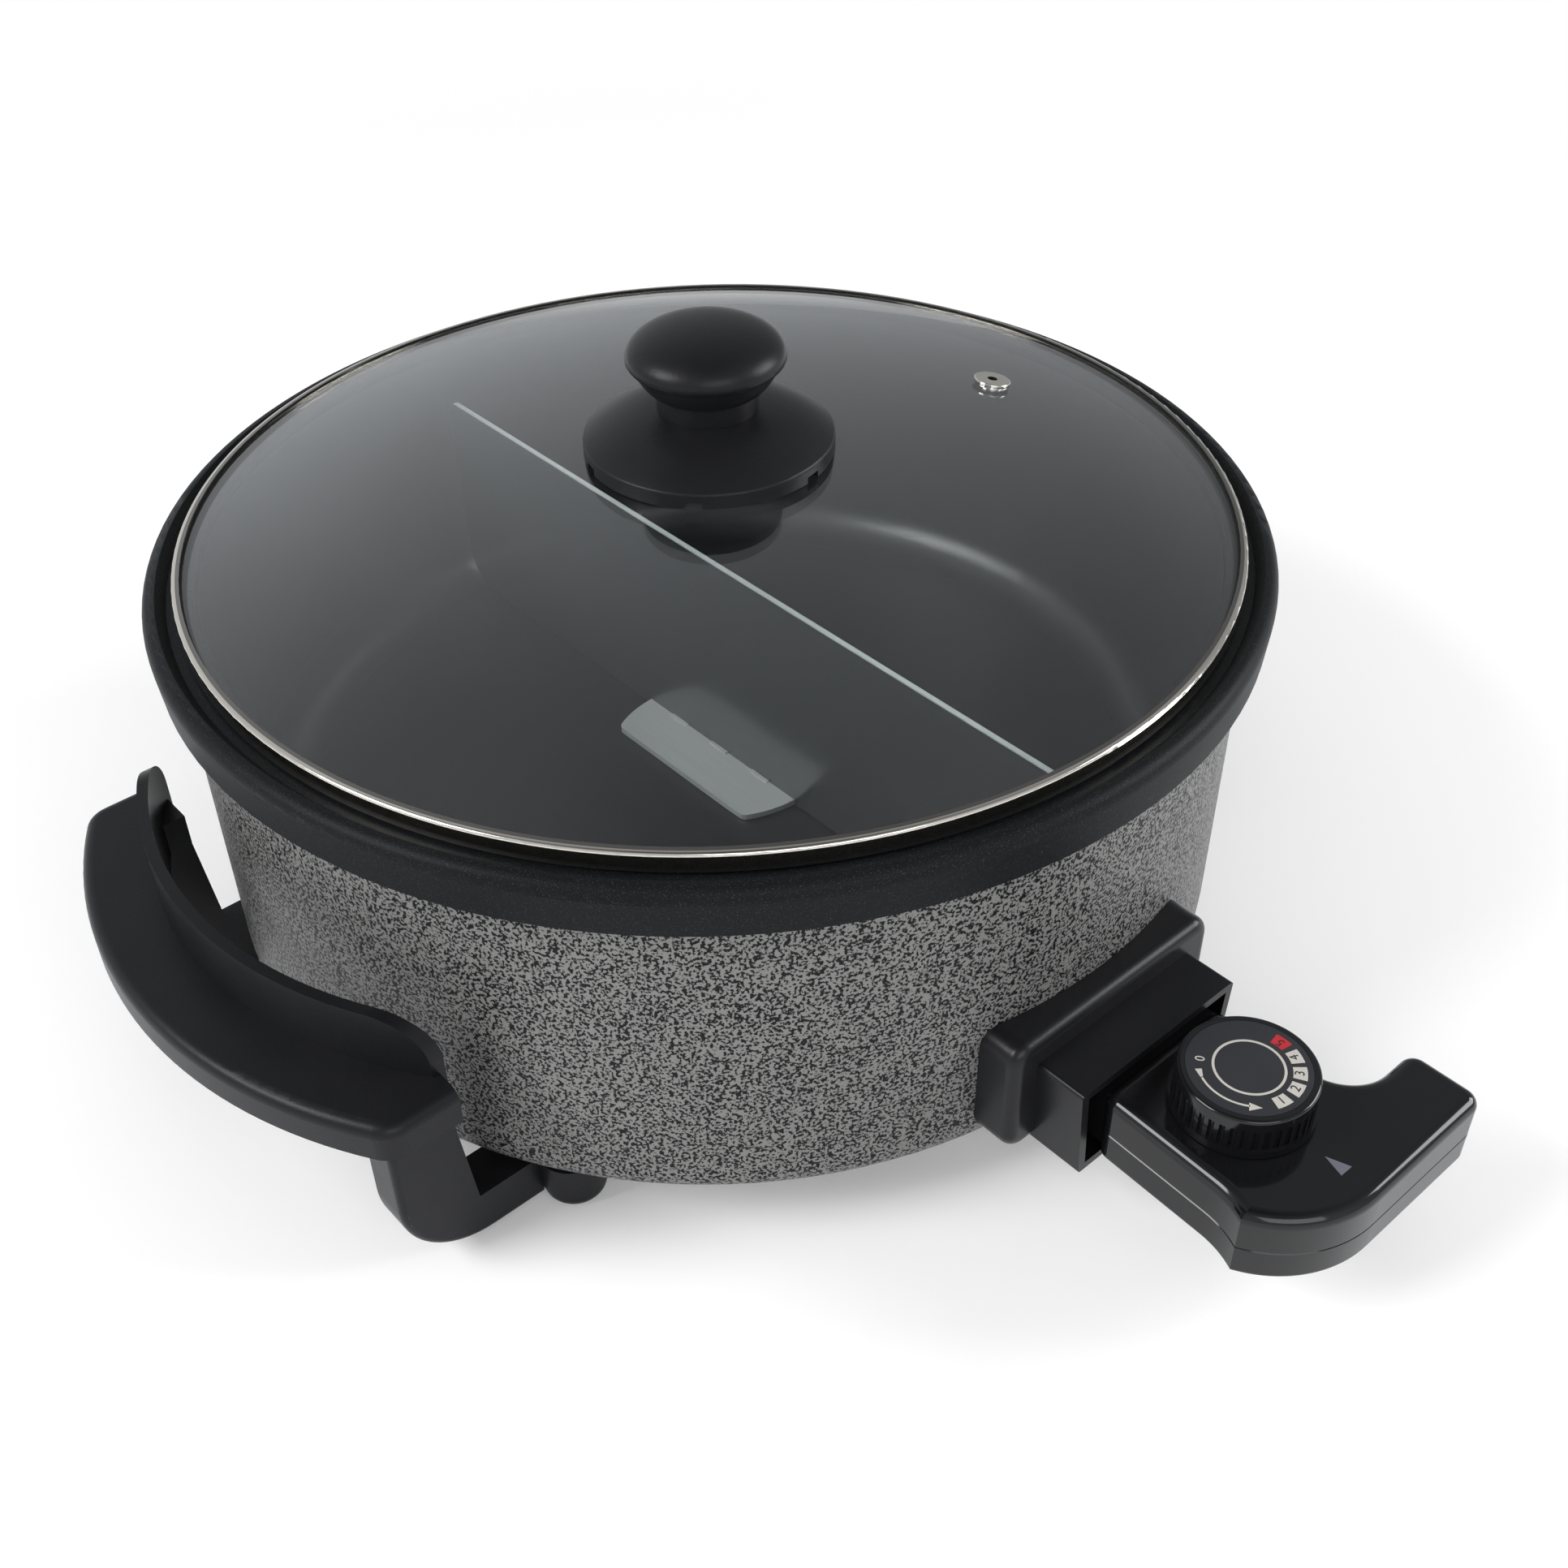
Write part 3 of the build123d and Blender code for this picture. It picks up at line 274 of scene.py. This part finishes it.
# moulded resins: one recipe, with each piece's own gloss and grain
resinSet = {
    "handleResin": {"tone": 0.009, "rough": 0.36, "shine": 0.17, "grain": 1500.0, "depth": 0.14},
    "socketResin": {"tone": 0.008, "rough": 0.30, "shine": 0.24, "grain": 1300.0, "depth": 0.08},
    "polishedResin": {"tone": 0.006, "rough": 0.10, "shine": 0.36, "grain": 160.0, "depth": 0.015},
    "dialFaceResin": {"tone": 0.026, "rough": 0.30, "shine": 0.30, "grain": 1200.0, "depth": 0.03},
    "cloud": 45.0, "deep": (0.8, 0.82, 0.95), "light": (1.25, 1.28, 1.45),
    "leastRough": 0.85, "cloudRough": 0.3, "relief": 0.0003,
}


def mouldedResin(name):
    made = resinSet[name]
    look = Finish(name)
    cloud = look.cloud(resinSet["cloud"])
    deep = shaded(resinSet["deep"], made["tone"])
    light = shaded(resinSet["light"], made["tone"])
    return look.set(
        color=look.blend(cloud, deep, light),
        rough=made["rough"] * resinSet["leastRough"] + cloud * made["rough"] * resinSet["cloudRough"],
        shine=made["shine"],
        normal=look.bump(look.grain(made["grain"]), made["depth"], resinSet["relief"]),
    )


# bare metals: tone, roughness and how far the brush marks are drawn out
metalSet = {
    # the band's darker tone on its fold over the glass is painted shade, not a colour of the steel
    "bandSteel": {"tone": (0.62, 0.59, 0.53), "rough": 0.14, "scale": 90.0, "dull": 0.95,
                  "cover": 0.1541, "coverPaintedShade": (0.20, 0.19, 0.175)},
    "trimSteel": {"tone": (0.62, 0.59, 0.53), "rough": 0.16, "scale": 300.0, "dull": 0.90},
    "zincSteel": {"tone": (0.56, 0.56, 0.54), "rough": 0.34, "scale": 420.0},
    "nickelPlate": {"tone": (0.72, 0.69, 0.62), "rough": 0.20, "scale": 700.0, "stretch": (1.0, 0.05, 1.0)},
    "sheathSteel": {"tone": (0.30, 0.29, 0.27), "rough": 0.45, "scale": 240.0},
    "satinAluminium": {"tone": (0.45, 0.465, 0.46), "rough": 0.42, "scale": 900.0, "metal": 0.35,
                       "stretch": (1.0, 0.04, 1.0)},
    "usual": {"stretch": (1.0, 1.0, 1.0), "dull": 0.82, "metal": 1.0},
    "brushDetail": 3.0, "brushRough": 0.6, "leastRough": 0.75, "markRough": 0.5,
    "depth": 0.03, "relief": 0.0002,
}


def bareMetal(name):
    made = {**metalSet["usual"], **metalSet[name]}
    look = Finish(name)
    brush = look.grain(made["scale"], metalSet["brushDetail"], metalSet["brushRough"], made["stretch"])
    tone = look.blend(brush, shaded(made["tone"], made["dull"]), made["tone"])
    if "cover" in made:  # painted shade: the fold over the glass is coloured darker than the rolled edge, as if it lay in shade
        tone = look.blend(look.reach() < made["cover"] ** 2, tone, made["coverPaintedShade"])
    return look.set(
        color=tone,
        metal=made["metal"],
        rough=made["rough"] * metalSet["leastRough"] + brush * made["rough"] * metalSet["markRough"],
        normal=look.bump(brush, metalSet["depth"], metalSet["relief"]),
    )


# divider: dark coat on the faces, bare metal where the top edge was cut
dividerSet = {
    "edge": 0.1166, "coat": (0.030, 0.032, 0.034), "worn": (0.022, 0.024, 0.026), "bare": (0.42, 0.44, 0.44),
    "cloud": 60.0, "bareMetal": 0.4, "rough": 0.17, "cloudRough": 0.06, "bareRough": 0.2, "ior": 1.9,
    "grain": 1700.0, "depth": 0.006, "relief": 0.0003,
}


def dividerCoat():
    look = Finish("dividerCoat")
    bare = look.axis("Z") > dividerSet["edge"]
    cloud = look.cloud(dividerSet["cloud"])
    coat = look.blend(cloud, dividerSet["worn"], dividerSet["coat"])
    return look.set(
        color=look.blend(bare, coat, dividerSet["bare"]),
        metal=bare * dividerSet["bareMetal"],
        rough=dividerSet["rough"] + cloud * dividerSet["cloudRough"] + bare * dividerSet["bareRough"],
        ior=dividerSet["ior"],
        normal=look.bump(look.grain(dividerSet["grain"]), dividerSet["depth"], dividerSet["relief"]),
    )


# lid glass: clear with a faint green, and lamps shine through it onto the pan
glassSet = {"tint": (0.945, 0.965, 0.963), "shade": (0.87, 0.895, 0.893), "ior": 1.5}


def lidGlass():
    look = Finish("lidGlass")
    look.set(color=glassSet["tint"], rough=0.0, ior=glassSet["ior"], glass=1.0)
    clear = look.node("ShaderNodeBsdfTransparent", None, {"Color": glassSet["shade"]})
    return look.show(look.layer(look.ray("Is Shadow Ray"), look.surface(), clear))


# small plain finishes: printed ink (the black one also paints the shade in the screws' cross recesses),
# ceramic, rubber and switch resin
inkSet = {
    "paleInk": {"tone": (0.52, 0.50, 0.46), "rough": 0.45},
    "redInk": {"tone": (0.48, 0.018, 0.028), "rough": 0.42},
    "blackInkAndRecessShade": {"tone": (0.012, 0.012, 0.013), "rough": 0.40},
    "greyInk": {"tone": (0.13, 0.13, 0.16), "rough": 0.40},
    "ceramicBody": {"tone": (0.80, 0.77, 0.69), "rough": 0.62},
    "bushRubber": {"tone": (0.012, 0.012, 0.012), "rough": 0.62},
    "switchResin": {"tone": (0.16, 0.09, 0.05), "rough": 0.48},
    "mottle": 900.0, "worn": 0.84, "leastRough": 0.9, "mottleRough": 0.2, "depth": 0.05, "relief": 0.0002,
}


def plainFinish(name):
    made = inkSet[name]
    look = Finish(name)
    mottle = look.cloud(inkSet["mottle"])
    return look.set(
        color=look.blend(mottle, shaded(made["tone"], inkSet["worn"]), made["tone"]),
        rough=made["rough"] * inkSet["leastRough"] + mottle * made["rough"] * inkSet["mottleRough"],
        normal=look.bump(mottle, inkSet["depth"], inkSet["relief"]),
    )


wellCoat = nonStickCoat("wellCoat")
handleResin = mouldedResin("handleResin")
polishedResin = mouldedResin("polishedResin")
trimSteel = bareMetal("trimSteel")
zincSteel = bareMetal("zincSteel")
nickelPlate = bareMetal("nickelPlate")
sheathSteel = bareMetal("sheathSteel")
bushRubber = plainFinish("bushRubber")
wears = {
    "cooking_pan": wellCoat,
    "heater_plate": wellCoat,
    "pan_rim": nonStickCoat("rimCoat"),
    "outer_casing": hammeredPaint(),
    "heating_element": sheathSteel,
    "terminal_pins": nickelPlate,
    "terminal_insulators": plainFinish("ceramicBody"),
    "probe_guide": sheathSteel,
    "socket_backing_plate": zincSteel,
    "earth_prong": nickelPlate,
    "socket_housing": mouldedResin("socketResin"),
    "socket_screws": zincSteel,
    "left_handle": handleResin,
    "right_handle": handleResin,
    "round_feet": handleResin,
    "foot_screws": zincSteel,
    "lid_glass": lidGlass(),
    "lid_band": bareMetal("bandSteel"),
    "vent_eyelet": trimSteel,
    "knob_gasket": bushRubber,
    "knob_washer": trimSteel,
    "knob_guard": handleResin,
    "lid_knob": handleResin,
    "knob_screw": zincSteel,
    "divider_plate": dividerCoat(),
    "divider_foot": bareMetal("satinAluminium"),
    "control_top_housing": polishedResin,
    "control_bottom_housing": polishedResin,
    "control_screws": zincSteel,
    "thermostat_switch": plainFinish("switchResin"),
    "probe_rod": nickelPlate,
    "contact_sleeves": nickelPlate,
    "earth_clip": nickelPlate,
    "cord_bush": bushRubber,
    "dial": polishedResin,
    "dial_face": mouldedResin("dialFaceResin"),
    "dial_shaft": zincSteel,
}
for name, node in nodes.items():
    node.data.materials.clear()
    node.data.materials.append(wears[name])
print("finishes on", len(wears), "nodes")


def clearSelection():
    if bpy.context.object and bpy.context.object.mode != "OBJECT":
        bpy.ops.object.mode_set(mode="OBJECT")
    bpy.ops.object.select_all(action="DESELECT")


def finishPiece(piece, name, body, material):
    clearSelection()
    piece.select_set(True)
    bpy.context.view_layer.objects.active = piece
    bpy.ops.object.transform_apply(location=True, rotation=True, scale=True)
    piece.name = name
    piece.data.name = name
    piece.data.materials.clear()
    piece.data.materials.append(material)
    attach(piece, body)


# dial print: ring, numbered blocks, zero and an arrow, laid on the dial's face
dialLow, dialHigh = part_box("dial_face")
dialSet = {
    "centre": ((dialLow[0] + dialHigh[0]) / 2, (dialLow[1] + dialHigh[1]) / 2, dialHigh[2]),
    "ink": 0.00003, "merge": 1e-7,
    "ring": 0.0095, "ringWidth": 0.0007, "ringSteps": 96,
    "inner": 0.0110, "outer": 0.0146, "blockTurn": 19.0, "blockSteps": 8,
    "marks": {"1": -104.0, "2": -77.0, "3": -52.0, "4": -27.0, "5": -1.0}, "hottest": "5",
    "zero": 124.0, "digit": 0.0036, "digitRadius": 0.01265, "digitTurn": 90.0,
    "arrow": (152.0, 218.0), "arrowRadius": 0.0131, "arrowWidth": 0.0006, "arrowSteps": 32, "overlap": 1.0,
    "tailTurn": 12.0, "tailHalf": 0.0009,
    "headTurn": 13.0, "headOut": 0.0016, "headIn": 0.0011, "headTip": 0.0005,
}
paleInk = plainFinish("paleInk")
redInk = plainFinish("redInk")
# black ink for the dial's digits, and painted shade in the screws' cross recesses
blackInkAndRecessShade = plainFinish("blackInkAndRecessShade")
greyInk = plainFinish("greyInk")


def onDial(turn, radius, lift=0.0):
    x, y, z = dialSet["centre"]
    angle = math.radians(turn)
    return Vector((x + radius * math.cos(angle), y + radius * math.sin(angle), z + lift))


def thicken(height):
    bpy.ops.object.mode_set(mode="EDIT")
    bpy.ops.mesh.select_all(action="SELECT")
    bpy.ops.mesh.remove_doubles(threshold=dialSet["merge"])
    bpy.ops.mesh.extrude_region_move(TRANSFORM_OT_translate={"value": (0, 0, height)})
    bpy.ops.mesh.select_all(action="SELECT")
    bpy.ops.mesh.normals_make_consistent(inside=False)
    bpy.ops.object.mode_set(mode="OBJECT")


# one edge of a plane is kept, set across the strip's start and spun round the dial
def spunStrip(name, inner, outer, start, sweep, steps, material):
    clearSelection()
    bpy.ops.mesh.primitive_plane_add(size=2.0, location=(0, 0, 0))
    strip = bpy.context.object
    bpy.ops.object.mode_set(mode="EDIT")
    bpy.ops.mesh.select_all(action="DESELECT")
    bpy.ops.object.mode_set(mode="OBJECT")
    for vertex in strip.data.vertices:
        vertex.select = vertex.co.y > 0
    bpy.ops.object.mode_set(mode="EDIT")
    bpy.ops.mesh.delete(type="VERT")
    bpy.ops.object.mode_set(mode="OBJECT")
    ends = sorted(strip.data.vertices, key=lambda vertex: vertex.co.x)
    ends[0].co = onDial(start, inner)
    ends[1].co = onDial(start, outer)
    bpy.ops.object.mode_set(mode="EDIT")
    bpy.ops.mesh.select_all(action="SELECT")
    bpy.ops.mesh.spin(steps=steps, angle=-math.radians(sweep), center=dialSet["centre"], axis=(0, 0, 1))
    bpy.ops.object.mode_set(mode="OBJECT")
    thicken(dialSet["ink"])
    finishPiece(strip, name, "dial", material)


# digits stand with their feet towards the dial's middle
def digit(name, text, turn, material, lift):
    clearSelection()
    bpy.ops.object.text_add(location=(0, 0, 0))
    words = bpy.context.object
    words.data.body = text
    words.data.size = dialSet["digit"]
    words.data.align_x = "CENTER"
    words.data.align_y = "CENTER"
    bpy.ops.object.convert(target="MESH")
    words = bpy.context.object
    thicken(dialSet["ink"])
    words.rotation_euler = (0, 0, math.radians(turn + dialSet["digitTurn"]))
    words.location = onDial(turn, dialSet["digitRadius"], lift)
    finishPiece(words, name, "dial", material)


# a flat shape with the given corners, for the arrow's ends and the pointer
def wedge(name, corners, body, material, height):
    clearSelection()
    bpy.ops.mesh.primitive_circle_add(
        vertices=len(corners), radius=0.001, fill_type="NGON", location=(0, 0, 0))
    flat = bpy.context.object
    for vertex, corner in zip(flat.data.vertices, corners):
        vertex.co = corner
    thicken(height)
    finishPiece(flat, name, body, material)


ringOuter = dialSet["ring"]
spunStrip("dialRing", ringOuter - dialSet["ringWidth"], ringOuter, 0.0, 360.0, dialSet["ringSteps"], paleInk)
for text, turn in dialSet["marks"].items():
    ink = redInk if text == dialSet["hottest"] else paleInk
    spunStrip("dialBlock" + text, dialSet["inner"], dialSet["outer"], turn - dialSet["blockTurn"] / 2,
              dialSet["blockTurn"], dialSet["blockSteps"], ink)
    digit("dialDigit" + text, text, turn, blackInkAndRecessShade, dialSet["ink"])
digit("dialDigit0", "0", dialSet["zero"], paleInk, 0.0)

arrowStart, arrowEnd = dialSet["arrow"]
middle = dialSet["arrowRadius"]
half = dialSet["arrowWidth"] / 2
spunStrip("dialArrowLine", middle - half, middle + half, arrowStart, arrowEnd - arrowStart,
          dialSet["arrowSteps"], paleInk)
tailFar = arrowStart - dialSet["tailTurn"]
tailNear = arrowStart + dialSet["overlap"]
tail = [
    onDial(tailFar, middle + dialSet["tailHalf"]), onDial(tailFar, middle - dialSet["tailHalf"]),
    onDial(tailNear, middle - half), onDial(tailNear, middle + half),
]
wedge("dialArrowTail", tail, "dial", paleInk, dialSet["ink"])
headNear = arrowEnd - dialSet["overlap"]
head = [
    onDial(headNear, middle + dialSet["headOut"]), onDial(headNear, middle - dialSet["headIn"]),
    onDial(arrowEnd + dialSet["headTurn"], middle + dialSet["headTip"]),
]
wedge("dialArrowHead", head, "dial", paleInk, dialSet["ink"])

# pointer on the control's top, where the dial's scale is read
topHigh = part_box("control_top_housing")[1][2]
pointerSet = {"corners": ((0.0017, -0.2333), (-0.0003, -0.2397), (0.0040, -0.2398)), "ink": 0.00003}
pointer = [Vector((*corner, topHigh)) for corner in pointerSet["corners"]]
wedge("controlPointer", pointer, "control", greyInk, pointerSet["ink"])
print("dial print and pointer laid")

# cross recesses of the screws, as thin dark bars of painted shade on each head's face
footLow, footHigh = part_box("foot_screws")
socketLow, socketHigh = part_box("socket_screws")
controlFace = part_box("control_screws")[0][2]
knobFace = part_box("knob_screw")[0][2]
headRadius = {"foot": 0.004, "socket": 0.0029}
footX, footY = footHigh[0] - headRadius["foot"], footHigh[1] - headRadius["foot"]
socketX, socketZ = socketHigh[0] - headRadius["socket"], (socketLow[2] + socketHigh[2]) / 2
crossSet = {
    "footScrewCrosses": {
        "body": "pan", "length": 0.0042, "width": 0.0009, "tilt": 0.0,
        "places": [(side * footX, end * footY, footLow[2]) for side in (-1, 1) for end in (-1, 1)],
    },
    "socketScrewCrosses": {
        "body": "pan", "length": 0.0030, "width": 0.0007, "tilt": 90.0,
        "places": [(side * socketX, socketLow[1], socketZ) for side in (-1, 1)],
    },
    "controlScrewCrosses": {
        "body": "control", "length": 0.0026, "width": 0.0006, "tilt": 0.0,
        "places": [(-0.0185, -0.1941, controlFace), (0.0185, -0.1941, controlFace),
                   (-0.0180, -0.2305, controlFace), (0.0240, -0.23825, controlFace)],
    },
    "knobScrewCross": {
        "body": "lid", "length": 0.0050, "width": 0.0011, "tilt": 0.0, "places": [(0.0, 0.0, knobFace)],
    },
}
barSet = {"turns": (45.0, 135.0), "height": 0.00006}


def crossMarks(name):
    made = crossSet[name]
    clearSelection()
    bars = []
    for place in made["places"]:
        for turn in barSet["turns"]:
            bpy.ops.mesh.primitive_cube_add(size=1.0, location=place)
            bar = bpy.context.object
            bar.scale = (made["length"], made["width"], barSet["height"])
            if made["tilt"]:
                bar.rotation_euler = (math.radians(made["tilt"]), math.radians(turn), 0)
            else:
                bar.rotation_euler = (0, 0, math.radians(turn))
            bars.append(bar)
    clearSelection()
    for bar in bars:
        bar.select_set(True)
    bpy.context.view_layer.objects.active = bars[0]
    bpy.ops.object.join()
    # the bars carry the black ink finish as painted shade of the cross recesses
    finishPiece(bpy.context.object, name, made["body"], blackInkAndRecessShade)


for name in crossSet:
    crossMarks(name)
print("screw crosses laid")

# pale floor and soft studio light
floorSet = {
    "size": 12.0, "drop": 0.0003, "tone": (0.90, 0.90, 0.90), "rough": 0.9, "glow": 0.12,
    "near": 0.50, "far": 0.85,
}
lampSet = {
    "leftWindow": {"place": (-1.5, 0.5, 1.3), "size": (0.9, 0.8), "power": 28.0},
    "rightBox": {"place": (1.5, -1.1, 0.9), "size": (1.0, 0.9), "power": 28.0},
    "frontFill": {"place": (-0.7, -1.7, 1.1), "size": (1.4, 1.0), "power": 12.0},
}
lampAim = (0, 0, 0.08)
worldSet = {
    "fill": 0.42, "zenith": 0.05, "horizon": 0.85, "fall": 4.0, "sky": (0.93, 0.96, 1.0),
    "middle": 1.15, "lean": 0.8, "least": 0.5,
}
whiteTone = (1.0, 1.0, 1.0)
someRays = 0.5  # ray flags and depths are whole numbers, so half parts none from some


# the floor keeps the shadow near the pan, runs out to white further off, and is clear from below
def makeFloor():
    clearSelection()
    bpy.ops.mesh.primitive_plane_add(size=floorSet["size"], location=(0, 0, -floorSet["drop"]))
    floor = bpy.context.object
    floor.name = "paleFloor"
    look = Finish("paleFloor")
    look.set(color=floorSet["tone"], rough=floorSet["rough"], glow=whiteTone, glowLevel=floorSet["glow"])
    away = look.node("ShaderNodeMapRange", {"interpolation_type": "SMOOTHSTEP"}, {
        "Value": look.reach(), "From Min": floorSet["near"] ** 2, "From Max": floorSet["far"] ** 2})
    white = look.node("ShaderNodeEmission")
    top = look.layer(away * look.ray("Is Camera Ray"), look.surface(), white)
    clear = look.node("ShaderNodeBsdfTransparent")
    below = look.node("ShaderNodeNewGeometry", out="Backfacing")
    floor.data.materials.append(look.show(look.layer(below, top, clear)))


def makeLamps():
    for name, lamp in lampSet.items():
        data = bpy.data.lights.new(name, "AREA")
        data.shape = "RECTANGLE"
        data.size, data.size_y = lamp["size"]
        data.energy = lamp["power"]
        made = bpy.data.objects.new(name, data)
        made.location = lamp["place"]
        aim = Vector(lampAim) - Vector(lamp["place"])
        made.rotation_euler = aim.to_track_quat("-Z", "Y").to_euler()
        bpy.context.scene.collection.objects.link(made)


# white to the eye and through the glass, a soft sky in every reflection, an even fill elsewhere
def makeWorld():
    world = bpy.data.worlds.new("studioWorld")
    world.use_nodes = True
    bpy.context.scene.world = world
    room = Bench(world.node_tree)
    glossy = room.ray("Is Glossy Ray") + room.ray("Glossy Depth")
    straight = glossy + room.ray("Diffuse Depth") < someRays
    shown = room.ray("Is Camera Ray") + room.ray("Is Transmission Ray") * straight > someRays
    mirrored = (glossy > someRays) * (1.0 - shown)
    # the sky is paler low down than overhead, and paler on the left than on the right
    low = 1.0 - room.axis("Z", "Generated").atLeast(0.0) ** worldSet["fall"]
    side = worldSet["middle"] - room.axis("X", "Generated") * worldSet["lean"]
    side = side.atLeast(worldSet["least"]).atMost(1.0)
    sky = (worldSet["zenith"] + low * (worldSet["horizon"] - worldSet["zenith"])) * side
    strength = shown + (1.0 - shown) * ((1.0 - mirrored) * worldSet["fill"] + mirrored * sky)
    back = room.tree.nodes["Background"]
    room.feed(back.inputs["Strength"], strength)
    room.feed(back.inputs["Color"], room.blend(mirrored, whiteTone, worldSet["sky"]))


makeFloor()
makeLamps()
makeWorld()
bpy.context.scene.view_settings.view_transform = "Standard"
print("floor, lamps and world set")
